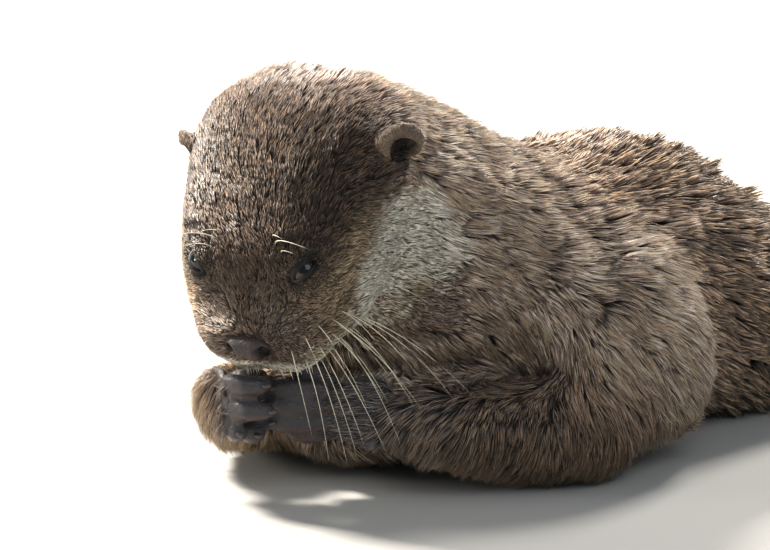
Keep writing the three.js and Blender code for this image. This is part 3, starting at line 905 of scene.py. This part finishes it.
def markings(skin):
    """The coat's colour with its painted shade and sunlight, how much of it is cream, the hide's
    colour, and how bare the hide is.
    """
    x, s, n = skin.head_parts()
    share, height, facing_up = skin.share, skin.co[:, 2] / MM, skin.normal[:, 2]
    on_head, forearm = share["head"], share["forearm"]
    low_arm = (forearm + share["shoulder"]) * step(30.0, 8.0, height)
    sides = step(0.7, 0.1, facing_up) * (share["back"] + share["rump"])
    masks, hollow_shade = eye_masks_and_ear_shade(skin)
    throat = step(-30.0, -50.0, n) * step(30.0, 10.0, x) * np.clip(on_head + share["neck"], 0, 1)
    from_left_hand = np.linalg.norm(skin.co - centre("hand_left"), axis=1) / MM
    from_right_hand = skin.co[:, 0] / MM - centre("hand_right")[0] / MM
    from_foot = np.linalg.norm(np.stack([x, s, n], 1) - EAR_SHADE, axis=1)

    # The head's brown is darkened: partly its own darker colour, partly painted shade.
    tone = np.tile(BROWN, (len(x), 1)) * (1 - 0.62 * on_head)[:, None]
    tone = mix(tone, FLANK, share["back"] + share["rump"] + share["thigh"])
    # Painted shade: on back and rump, hair on the sides that face away from above is darkened.
    tone = tone * (1 - 0.2 * sides)[:, None]
    tone = mix(tone, SHOULDER, share["shoulder"] + 0.7 * share["neck"])
    tone = mix(tone, SHOULDER, 0.55 * (on_head * step(-30.0, -44.0, n) * step(18.0, 30.0, x)))
    tone = mix(tone, GREY_BROWN, forearm)
    tone = tone * (1 - 0.3 * low_arm)[:, None]
    for colour, amount in [
            (TAIL_TONE, share["tail"] + share["tail_tip"]),
            (BELLY, 0.6 * step(0.2, -0.8, facing_up) * (1 - on_head)),
            # Dark brown on the head behind the eyes: partly its own colour, partly painted shade.
            (DARK, on_head * step(-70.0, -30.0, s) * step(-16.0, -2.0, n) * 0.8),
            (MUZZLE, on_head * hill(x, 13.0, 13.0) * hill(s, 18.0, 10.0) * 0.8),
            (THROAT, 0.3 * throat * step(20.0, 60.0, height)),
            *((EYE_MASK, mask) for mask in masks),
            # Painted shade just under the ear.
            (EAR_SHADE_COLOUR, 0.75 * hill(from_foot, 0.0, 5.0)),
            (HAND_HAIR, share["hand"]),
            (EAR_RIM, share["ear"]),
            # Painted shade in the hollow of each ear.
            (EAR_SHADE_COLOUR, hollow_shade),
            (WRIST, 0.6 * forearm * step(50.0, 28.0, from_left_hand)),
            # Painted sunlight: the right forearm alone takes the bright rufous, and low on both
            # forearms a little of it.
            (SUNLIT_RUFOUS, 0.6 * (forearm * step(10.0, -10.0, from_right_hand))),
            (SUNLIT_RUFOUS, 0.25 * forearm * step(30.0, 8.0, height))]:
        tone = mix(tone, colour, amount)
    # Painted shade: the coat is darkened along each fold's line, where shadow falls in the crease.
    for gap, _ in fold_gaps(skin.co):
        tone = tone * (1 - 0.6 * hill(gap, 0.0, 4.5))[:, None]

    wave = smooth_field(skin.co, 22 * MM, 8)[:, 0] * 0.07
    from_cheek = np.hypot((s + 8.0) / 28.0, (n + 23.0) / 25.0) + wave
    tan = on_head * step(13.0, 24.0, x) * step(1.3, 0.7, from_cheek)
    tone = mix(tone, TAN, 0.75 * tan * step(3.0, -5.0, n))
    below = under_lip(skin.head)
    jaw = on_head * step(-21.0, -10.0, below) * step(6.0, 3.0, below)
    jaw = jaw * step(12.0, 22.0, x) * step(-16.0, -4.0, s)
    tone = mix(tone, TAN, 0.8 * jaw)
    inside = depth_in(np.stack([s, n], 1), CHEEK_EDGE) + 40.0 * wave
    cheek = step(19.0, 27.0, x) * step(-5.0, 5.0 + 5.0 * step(-36.0, -10.0, s), inside)
    lips = on_head * step(-12.0, -6.5, below) * step(-8.0, 2.0, s) * step(6.0, 3.0, below)
    cream = 0.92 * cheek * np.clip(on_head + share["neck"], 0, 1)
    cream = np.clip(np.maximum(cream, np.maximum(0.9 * lips, 0.45 * jaw)), 0, 1)
    cream = cream * (1 - np.maximum(share["ear"], hollow_shade))

    bare = step(0.35, 0.75, np.clip(share["hand"] + share["foot"], 0, 1))
    naked = mix(np.tile(NAKED, (len(x), 1)), PALM, 0.6 * step(0.1, -0.8, facing_up))
    # The hide under the hair is the coat's colour darkened: partly the dark underfur, partly
    # painted shade between the tufts; less so on the ears.
    under_hair_shade = (0.22 + 0.38 * step(0.6, 0.95, share["ear"]))[:, None]
    hide = mix(mix(tone, CREAM, cream) * under_hair_shade, naked, bare)
    return tone, cream, hide, bare


# ---------- the lay of the hair ----------
SPINE = ["head", "neck", "chest", "loin", "rump", "tail_base", "tail_mid", "tail_tip"]
SPINE_BLEND = 8 * MM        # nearer to the spine than this, its lengths share a point evenly
BACKWARDS, DOWN = np.array([0.0, 1.0, 0.0]), np.array([0.0, 0.0, -1.0])


def spine_ways(points):
    """The way from head to tail beside each point, from the line through the middles."""
    line = np.array([centre(name) for name in SPINE])
    low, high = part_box("tail_tip")
    line = np.vstack([line, [high[0], high[1], low[2]]])
    ways = np.zeros_like(points)
    for a, b in zip(line[:-1], line[1:]):
        gap = np.linalg.norm(points - (a + b) / 2, axis=1)
        ways += unit(b - a) / (gap[:, None] ** 3 + SPINE_BLEND ** 3)
    return unit(ways)


def lay_of_coat(skin):
    """A unit vector along the skin at each point: the way its hair lies."""
    p = skin.co
    back = spine_ways(p)
    flank = (1.0 - np.abs(skin.normal[:, 2]))[:, None]
    from_eyes = np.zeros_like(p)
    for side in EYE:
        away = p - EYE[side]
        far = np.linalg.norm(away, axis=1, keepdims=True)
        from_eyes += away / np.maximum(far, 1e-9) * step(14 * MM, 6 * MM, far)
    ahead, beside = skin.head[:, 1:2], np.abs(skin.head[:, :1])
    cheek = step(20.0, 30.0, beside) * step(4.0, -16.0, ahead)
    behind = np.maximum(step(-25.0, -60.0, ahead), cheek)
    swept = behind * (BACKWARDS + 0.2 * DOWN * flank)
    low_neck = step(75.0, 40.0, p[:, 2:] / MM)
    ways = [
        ("head", unit(p - centre("nose")) * (1 - 0.6 * behind) + 0.9 * swept + 1.4 * from_eyes),
        ("neck", BACKWARDS + DOWN * (0.5 * flank + 0.3 * low_neck)),
        ("back", back + 0.30 * DOWN * flank),
        ("rump", back + 0.25 * DOWN * flank),
        ("tail", back + 0.1 * DOWN * flank),
        ("tail_tip", back),
        ("thigh", back + 0.6 * DOWN),
        ("shank", back + 0.8 * DOWN),
    ]
    way = sum(unit(direction) * skin.share[kind][:, None] for kind, direction in ways)
    for side, sign in (("left", 1.0), ("right", -1.0)):
        shoulder, ear = centre("upper_arm_" + side), centre("ear_" + side)
        heading = unit((centre("hand_" + side) - shoulder) * np.array([1, 1, 0]))
        elbow = step(0.0, 40.0, (p - shoulder) @ -heading / MM + 20.0)[:, None]
        outwards = np.array([sign * 0.25, 0, 0])
        mine = p[:, 0] * sign > 0
        for kind, direction in [
                ("shoulder", back * 0.9 + DOWN * (0.30 + 0.5 * low_neck) + outwards),
                ("forearm", DOWN + heading * (0.55 - 0.9 * elbow)),
                ("hand", heading),
                ("foot", np.array([sign * 0.35, -1.0, -0.2])),
                ("ear", (p - ear) + 0.1 * (ear - centre("head")))]:
            way = way + unit(direction) * (skin.share[kind] * mine)[:, None]
    way = unit(skin.net.blur(way, 10))
    way -= skin.normal * np.sum(way * skin.normal, 1, keepdims=True)
    return unit(way)


# ---------- tufts ----------
# Per kind: tufts for each square millimetre, length and width (mm), rise off the skin (degrees),
# how far the tips of a clump draw together, and how much paler the tips are.
COAT = {
    "head": (2.6, 4.8, 0.42, 19, 0.45, 0.40),
    "neck": (2.1, 9.0, 0.50, 18, 0.80, 1.0),
    "back": (0.85, 13.0, 0.80, 28, 0.95, 0.80),
    "rump": (0.65, 12.0, 0.90, 24, 0.65, 0.50),
    "tail": (0.85, 7.5, 0.80, 19, 0.35, 0.34),
    "tail_tip": (1.3, 5.0, 0.60, 16, 0.25, 0.30),
    "shoulder": (2.0, 10.0, 0.50, 18, 0.85, 1.0),
    "forearm": (2.1, 9.0, 0.33, 19, 0.60, 0.70),
    "hand": (1.4, 2.6, 0.15, 11, 0.1, 0.35),
    "foot": (0.35, 2.6, 0.26, 8, 0.0, 0.10),
    "thigh": (0.85, 10.0, 0.78, 21, 0.60, 0.45),
    "shank": (1.2, 6.0, 0.55, 16, 0.30, 0.30),
    "ear": (5.5, 1.1, 0.22, 6, 0.0, 0.25),
}


def density(skin):
    """Tufts for each square millimetre: none on the eyes and nose, few on hands and underneath."""
    hand, head = skin.share["hand"], skin.share["head"]
    per_mm2 = skin.weigh({kind: row[0] for kind, row in COAT.items()})
    per_mm2 = per_mm2 * (1 + 0.55 * head * step(-30.0, 5.0, skin.head[:, 1]))
    beyond = (skin.co - centre("hand_left")) @ ACROSS_HANDS / MM
    per_mm2 = per_mm2 * (1 - 0.97 * hand * step(3.0, -3.0, beyond))
    per_mm2 = per_mm2 * (1 + 0.9 * hand * step(-4.0, 16.0, beyond))
    resting = step(5.0, 2.0, skin.co[:, 2] / MM) * step(-0.5, -0.9, skin.normal[:, 2])
    per_mm2 = per_mm2 * (1 - 0.85 * resting)
    for side in EYE:
        along, rise, _ = eye_frame(side)
        v = skin.head - head_of(EYE[side])
        q = np.hypot((v @ along) / CLEAR_RING[0], (v @ rise) / CLEAR_RING[1])
        clear = step(0.9, 1.1, q)
        per_mm2 = per_mm2 * np.where(np.linalg.norm(v, axis=1) < EYE_FIELD, clear, 1.0)
    across, out, up = nose_ways(skin.head)
    from_pad = np.hypot(across / PAD[0], up / PAD[2]) + step(8.0, 10.0, np.abs(out))
    return per_mm2 * step(0.93, 1.03, from_pad)


def sample(skin, tone, cream, lay):
    """Roots scattered over the skin, as thickly as the coat asks for."""
    mesh = skin.obj.data
    mesh.calc_loop_triangles()
    tris = read(mesh.loop_triangles, "vertices", np.int32)
    a, b, c = np.moveaxis(skin.co[tris], 1, 0)
    area = np.linalg.norm(np.cross(b - a, c - a), axis=1) / 2
    amount = density(skin)[tris].mean(1) * area / MM ** 2
    whole = np.floor(amount + rng.random(len(amount))).astype(int)
    owner = np.repeat(np.arange(len(tris)), whole)
    r1, r2 = np.sqrt(rng.random(len(owner))), rng.random(len(owner))
    weights = np.stack([1 - r1, r1 * (1 - r2), r1 * r2], 1)[:, :, None]

    def take(values):
        values = values if values.ndim == 2 else values[:, None]
        return (values[tris[owner]] * weights).sum(1)

    return {
        "root": take(skin.co), "normal": unit(take(skin.normal)), "lay": unit(take(lay)),
        "tone": take(tone), "cream": take(cream)[:, 0], "count": len(owner),
        "share": {kind: take(share)[:, 0] for kind, share in skin.share.items()},
    }


# Hair draws together first into small locks and then into large ones: the width of the lock (mm),
# how strongly it draws, and how much of the width is left at its tips.
CLUMPS = [(1.5, 0.9, 0.3), (4.2, 0.75, 0.4)]
LOCK_CHANGE = 0.12          # how much one lock differs from the next in brightness
# Along a tuft from root to tip: where its rings lie. Between them it bows out by this much.
MIDDLE, LATER, BOW = 0.36, 0.70, 0.055
ROOT_DEPTH, ROOT_FLOOR, TUFT_FLOOR = 0.25 * MM, 0.1 * MM, 0.25 * MM


def clump_leaders(root, spacing):
    """For each root the index of a leader near by: one root in each cell of a jittered grid."""
    shift = smooth_field(root, spacing * 4, 11) * spacing * 0.5
    cell = np.floor((root + shift) / spacing).astype(np.int64)
    cell -= cell.min(0)
    key = (cell[:, 0] * (cell[:, 1].max() + 1) + cell[:, 1]) * (cell[:, 2].max() + 1) + cell[:, 2]
    _, first, inverse = np.unique(key, return_index=True, return_inverse=True)
    return first[inverse]


def sizes(roots):
    """Each tuft's length, width, rise, clumping and paleness, by where it grows."""
    root, share, upper = roots["root"], roots["share"], step(0.2, 0.9, roots["normal"][:, 2])
    mixed = sum(share[kind][:, None] * np.array(COAT[kind]) for kind in KINDS)
    _, length, width, rise, clump, pale = mixed.T
    head = head_of(root)
    face = share["head"] * step(-40.0, 0.0, head[:, 1])
    length = length * (1 - 0.35 * face) * (1 - 0.3 * share["head"] * step(8.0, 24.0, head[:, 1]))
    for side in EYE:
        from_eye = np.linalg.norm(head - head_of(EYE[side]), axis=1)
        length = length * (1 - 0.55 * step(12.0, 6.0, from_eye))
    width = width * (1 - 0.15 * face)
    wrist = share["hand"] * step(0.0, 20.0, (root - centre("hand_left")) @ ACROSS_HANDS / MM)
    length, width = length * (1 + 1.2 * wrist), width * (1 + 0.8 * wrist)
    raised = 9.0 * (share["back"] + share["rump"]) + 8.0 * share["neck"] + 5.0 * share["head"]
    return length, width, rise + upper * raised, clump, pale


def grow(roots):
    """The places along each tuft and its ways, its width, its paleness, and its lock's tone with
    painted shade at the lock's edges.
    """
    count, root, normal = roots["count"], roots["root"], roots["normal"]
    length, width, rise, clump, pale = sizes(roots)
    length = length * rng.uniform(0.7, 1.25, count)
    width = width * rng.uniform(0.7, 1.3, count)
    swirl = smooth_field(root, 16 * MM, 3) * 0.16 + smooth_field(root, 5 * MM, 4) * 0.10
    lay = roots["lay"] + swirl + rng.normal(size=(count, 3)) * 0.13
    lay = unit(lay - normal * np.sum(lay * normal, 1, keepdims=True))
    angle = np.radians(rise * rng.uniform(0.55, 1.35, count))[:, None]
    far = (length * MM)[:, None]
    tip = root + far * (lay * np.cos(angle) + normal * np.sin(angle))
    lock_tone_and_shade = np.ones(count)
    for spacing, pull, spread in CLUMPS:
        leader = clump_leaders(root, spacing * MM)
        apart = np.linalg.norm(root - root[leader], axis=1) / (spacing * MM)
        own = np.exp(rng.normal(0.0, LOCK_CHANGE, count))[leader]
        # Tufts towards a lock's edge are darker: painted shade in the gaps between locks, over the
        # lock's own random tone.
        lock_tone_and_shade *= 1.0 + clump * (own * (1.14 - 0.34 * np.minimum(apart, 1.0)) - 1.0)
        draw = (pull * clump * rng.uniform(0.6, 1.2, count))[:, None]
        goal = tip[leader] + (root - root[leader]) * spread
        tip = tip + (goal - tip) * np.clip(draw, 0, 0.9)
    middle = root + (tip - root) * MIDDLE + normal * far * BOW
    later = root + (tip - root) * LATER + normal * far * BOW
    for place in (tip, later, middle):
        place[:, 2] = np.maximum(place[:, 2], TUFT_FLOOR)
    sideways = unit(np.cross(normal, tip - root))
    root = root - normal * ROOT_DEPTH
    root[:, 2] = np.maximum(root[:, 2], ROOT_FLOOR)
    return [root, middle, later, tip, sideways, normal, (width * MM)[:, None]], pale, lock_tone_and_shade


FAIR_TIP, FAIR_CHANCE, FAIR_IN_ALL = srgb(240, 200, 154), 0.22, 0.09
# Soft patches of brighter and darker hair: stretch along the body, size (mm), seed and change.
PATCHES = [(1.0, 11, 5, 0.12), (0.5, 26, 15, 0.12), (1.0, 2.6, 9, 0.22)]


def colours_of(roots, pale, lock_tone_and_shade):
    """Root, middle and tip colours: grizzled and paler at the tip; darker at the root, partly its
    own colour and partly painted shade deep in the coat.
    """
    count, root = roots["count"], roots["root"]
    streak = smooth_field(root, 3 * MM, 6)[:, 0] * 0.22 + rng.normal(0.0, 0.16, count)
    cream = step(0.15, 0.85, roots["cream"] + streak * step(0.0, 0.2, roots["cream"]))
    patch = 1.0
    for stretch, size, seed, change in PATCHES:
        field = smooth_field(root * [1.0, stretch, 1.0], size * MM, seed)
        patch = patch * (1.0 + change * field[:, :1])
    own = np.exp(rng.normal(-0.22, 0.68, (count, 1))) * np.maximum(lock_tone_and_shade, 0.55)[:, None]
    brown, fawn = roots["tone"] * np.clip(patch * own, 0.2, 2.6), CREAM * np.clip(own, 0.4, 1.1)
    base = mix(brown, fawn, cream)
    fair = rng.random(count) < FAIR_CHANCE
    gain = np.where(fair, 1.0, FAIR_IN_ALL) * pale * (1 - 0.8 * cream)
    tips = base * (1 + 0.6 * pale[:, None]) + gain[:, None] * (FAIR_TIP - base)
    return base * 0.22, base * (0.64 + 0.28 * cream[:, None]), np.clip(tips, 0.0, 0.9)


RING_HALF, LATER_HALF, RIDGE = 0.5, 0.38, 0.7   # a tuft's rings and its ridge, in its widths
MAP_EDGE = 0.004            # bare edge of the bake map
PATCH = 0.0015              # half the side of a tuft's patch on the bake map
AXES_FROM = 4000            # enough roots to find a piece's longest direction


def unwrap(root):
    """Round and along: the skin's own shape laid flat about its longest direction."""
    local = root - root.mean(0)
    every = max(1, len(root) // AXES_FROM)
    _, _, axes = np.linalg.svd(local[::every], full_matrices=False)
    along, up, over = (local @ axes.T).T
    along = (along - along.min()) / max(along.max() - along.min(), 1e-9)
    turn = np.arctan2(over, up) / (2 * math.pi) + 0.5
    return MAP_EDGE + (1 - 2 * MAP_EDGE) * np.stack([turn, along], 1)


def tuft_piece(name, grown, tones, ringed):
    """One piece of coat: every tuft a closed, three-sided, tapered lock with one ring or two."""
    root, middle, later, tip, sideways, normal, width = grown
    dark, base, light = tones
    rings = [(middle, RING_HALF, base), (later, LATER_HALF, (base + light) / 2)]
    points, colours, spots = [root], [dark], [(0.0, -PATCH)]
    for place, half, colour in rings[:2 if ringed else 1]:
        points += [place - sideways * width * half, place + sideways * width * half,
                   place + normal * width * half * RIDGE]
        colours += [colour] * 3
        spots += [(-PATCH, 0.0), (PATCH, 0.0), (0.0, 0.0)]
    points.append(tip)
    colours.append(light)
    spots.append((0.0, PATCH))
    each, last = len(points), len(points) - 1
    faces = [[0, 2, 1], [0, 1, 3], [0, 3, 2]]
    if ringed:
        faces += [[1, 2, 5], [1, 5, 4], [2, 3, 6], [2, 6, 5], [3, 1, 4], [3, 4, 6]]
    faces += [[last - 3, last - 2, last], [last - 2, last - 1, last], [last - 1, last - 3, last]]
    co = np.stack(points, 1).reshape(-1, 3)
    index = (np.arange(len(root))[:, None, None] * each + np.array(faces)[None]).reshape(-1)
    total = len(index) // 3
    mesh = bpy.data.meshes.new(name)
    mesh.vertices.add(len(co))
    mesh.vertices.foreach_set("co", co.astype(np.float32).ravel())
    mesh.loops.add(len(index))
    mesh.loops.foreach_set("vertex_index", index.astype(np.int32))
    mesh.polygons.add(total)
    mesh.polygons.foreach_set("loop_start", np.arange(total, dtype=np.int32) * 3)
    mesh.update(calc_edges=True)
    obj = new_object(name, mesh)
    smooth_shade(obj)
    set_tone(obj, np.stack(colours, 1).reshape(-1, 3))
    uv = (unwrap(root)[:, None, :] + np.array(spots)[None]).reshape(-1, 2)
    layer = mesh.uv_layers.new(name="OFBake")
    layer.data.foreach_set("uv", uv[index].astype(np.float32).ravel())
    return obj


PIECE_FACES = 190000
SHORT, LONG = 6, 12         # faces of a tuft with one ring and with two
# Where each tuft is filed: a group of kinds, and whether its tufts take two rings.
LOCKS = [("head", ("head", "ear"), False), ("neck", ("neck",), False), ("back", ("back",), True),
         ("rump", ("rump", "thigh"), True), ("arms", ("shoulder", "forearm", "hand"), False),
         ("tail_and_feet", ("tail", "tail_tip", "shank", "foot"), False)]


def grow_coat(skin, tone, cream):
    roots = sample(skin, tone, cream, lay_of_coat(skin))
    grown, pale, lock_tone_and_shade = grow(roots)
    tones = colours_of(roots, pale, lock_tone_and_shade)
    strongest = np.argmax(np.stack([roots["share"][kind] for kind in KINDS], 1), 1)
    for label, kinds, ringed in LOCKS:
        mine = np.flatnonzero(np.isin(strongest, [KINDS.index(kind) for kind in kinds]))
        mine = mine[np.argsort(roots["root"][mine, 1], kind="stable")]
        parts = max(1, math.ceil(len(mine) / (PIECE_FACES // (LONG if ringed else SHORT))))
        for k, chosen in enumerate(np.array_split(mine, parts)):
            picked = [values[chosen] for values in grown], [values[chosen] for values in tones]
            yield tuft_piece(f"coat_{label}_{k + 1}", *picked, ringed)


# ---------- whiskers and the fringe of the lips ----------
TUBE_SIDES, TUBE_TAPER = 5, 0.85


def hair_tubes(name, stems):
    """Stems are (points, root radius): each a closed tapered tube."""
    bm = bmesh.new()
    for points, radius in stems:
        points = [Vector(p) for p in points]
        before = None
        for k, p in enumerate(points[:-1]):
            way = (points[k + 1] - points[max(k - 1, 0)]).normalized()
            across = way.orthogonal().normalized()
            over = way.cross(across)
            r = radius * (1 - TUBE_TAPER * k / (len(points) - 1))
            ring = [bm.verts.new(p + (across * math.cos(t) + over * math.sin(t)) * r)
                    for t in (2 * math.pi * i / TUBE_SIDES for i in range(TUBE_SIDES))]
            if before is None:
                bm.faces.new(ring[::-1])
            else:
                for i in range(TUBE_SIDES):
                    j = (i + 1) % TUBE_SIDES
                    bm.faces.new((before[i], before[j], ring[j], ring[i]))
            before = ring
        end = bm.verts.new(points[-1])
        for i in range(TUBE_SIDES):
            bm.faces.new((before[i], before[(i + 1) % TUBE_SIDES], end))
    bmesh.ops.recalc_face_normals(bm, faces=bm.faces)
    return finished(name, bm)


def curve_of(start, way, droop, length, count=9):
    """Points from start that set out along way and bend towards droop."""
    t = np.linspace(0.0, 1.0, count)[:, None]
    return start + length * (way * t + droop * t ** 2)


# Radii at the root.
WHISKER, FINE_WHISKER, BROW_HAIR, FRINGE_HAIR = 0.16 * MM, 0.12 * MM, 0.2 * MM, 0.15 * MM
# Brow whiskers on the left side: root in the head frame, and length (mm).
BROW_WHISKERS = [((12.1, -5.1, 9.0), 14.25), ((13.9, -2.7, 7.3), 7.6), ((10.6, -7.4, 9.6), 5.7)]
FRINGE_HAIRS, FRINGE_END = 46, 0.82     # how many, and how far along the lip's line they grow


def whisker_stems(tree):
    stems = []

    def grow_from(spot, way, droop, length, radius):
        root, normal, _, _ = tree.find_nearest(Vector(from_head(spot)))
        way = unit(np.asarray(way) @ HEAD_AXES + 0.3 * np.array(normal))
        bend = np.asarray(droop) + rng.normal(size=3) * 0.05
        stems.append((curve_of(np.array(root), way, bend, length * MM), radius))

    for sign in (1.0, -1.0):
        for row, k in ((row, k) for row in range(4) for k in range(5)):
            flat = k / 4.0 + rng.uniform(-0.12, 0.12)
            s = 21.0 - 3.6 * k - 0.8 * row + rng.uniform(-0.9, 0.9)
            n = -14.0 - 4.6 * row + rng.uniform(-0.9, 0.9)
            spot = (sign * (15.0 + 3.2 * k + 0.5 * row), s, n)
            way = (sign * (0.45 + 0.55 * flat), 0.70 - 0.55 * flat, -0.12 - 0.08 * row)
            length = rng.uniform(15.0, 30.0) + 3.0 * k * (row > 0)
            grow_from(spot, way, (0, 0, -0.42), length, WHISKER)
        for (x, s, n), length in BROW_WHISKERS:
            sweep = np.array([sign * 0.75, 0.30, -0.55]) @ HEAD_AXES
            grow_from((sign * x, s, n), (sign * 0.30, -0.15, 0.75), sweep, length, BROW_HAIR)
        for k in range(3):
            spot, length = (sign * 34.0, -8.0 - 5.0 * k, -24.0 - 6.0 * k), 20.0 + 5.0 * k
            grow_from(spot, (sign * 0.8, 0.0, -0.35), (0, 0, -0.15), length, FINE_WHISKER)
    return stems


def fringe_stems(tree):
    """Short stiff pale hairs that hang from the edge of the upper lip."""
    stems = []
    knots = np.linspace(0, 1, len(LIP))
    for _ in range(FRINGE_HAIRS):
        t = rng.uniform(0.0, FRINGE_END)
        sign = rng.choice((-1.0, 1.0))
        where = np.array([np.interp(t, knots, row) for row in LIP.T])
        spot, _, _, _ = tree.find_nearest(Vector(from_head(where * [sign, 1, 1] + [0, 0, 0.8])))
        way = unit(np.array([sign * 0.12, 0.45, -0.75]) @ HEAD_AXES + np.array([0, 0, -0.5]))
        way = unit(way + rng.normal(size=3) * 0.12)
        length = rng.uniform(2.0, 4.5) * MM
        stems.append((curve_of(np.array(spot), way, np.zeros(3), length, 4), FRINGE_HAIR))
    return stems


# ---------- putting the otter together ----------
def set_value(obj, name, values):
    layer = obj.data.attributes.new(name, "FLOAT", "POINT")
    layer.data.foreach_set("value", values.astype(np.float32))


def finish_piece(obj, material, slot, *nodes):
    obj.data.materials.clear()
    obj.data.materials.append(material)
    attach(obj, "root")
    if nodes:
        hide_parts(*nodes)


add_camera()
add_stage()

skin = Skin(build_skin())
for shape in (fill_out, pelt_right_palm, sink_under_coat, ripple, crease, shape_face, seat_nose,
              ease_ear_foot, shape_ears, shape_hands, fit_sockets):
    shape(skin)
tone, cream, hide, bare = markings(skin)
set_tone(skin.obj, hide)
set_value(skin.obj, "bare", bare)
smooth_shade(skin.obj)
finish_piece(skin.obj, skin_material(), "coat", *FLESH)

coat_hair = coat_material()
for piece in grow_coat(skin, tone, cream):
    finish_piece(piece, coat_hair, "coat")

eye_ball = eye_material()
lid_skin = plain_material("lid_skin", srgb(18, 16, 17), 0.55, 900.0, 0.6, 1.4, 0.15 * MM, 0.25)
for side in EYE:
    finish_piece(eyeball(side), eye_ball, "eye", "eye_" + side)
    finish_piece(lids(side), lid_skin, "bare_skin")
finish_piece(nose_pad(), nose_material(), "nose", "nose")
horn = plain_material("horn", srgb(58, 50, 48), 0.3, 600.0, 0.8, 1.15, 0.05 * MM)
finish_piece(claws(), horn, "claw", *CLAWS)

bm = bmesh.new()
bm.from_mesh(skin.obj.data)
skin_tree = BVHTree.FromBMesh(bm)
bm.free()
whisker_hair = plain_material("whisker_hair", srgb(226, 218, 194), 0.4, 300.0, 0.9, 1.08)
finish_piece(hair_tubes("whiskers", whisker_stems(skin_tree)), whisker_hair, "coat")
finish_piece(hair_tubes("lip_fringe", fringe_stems(skin_tree)), whisker_hair, "coat")
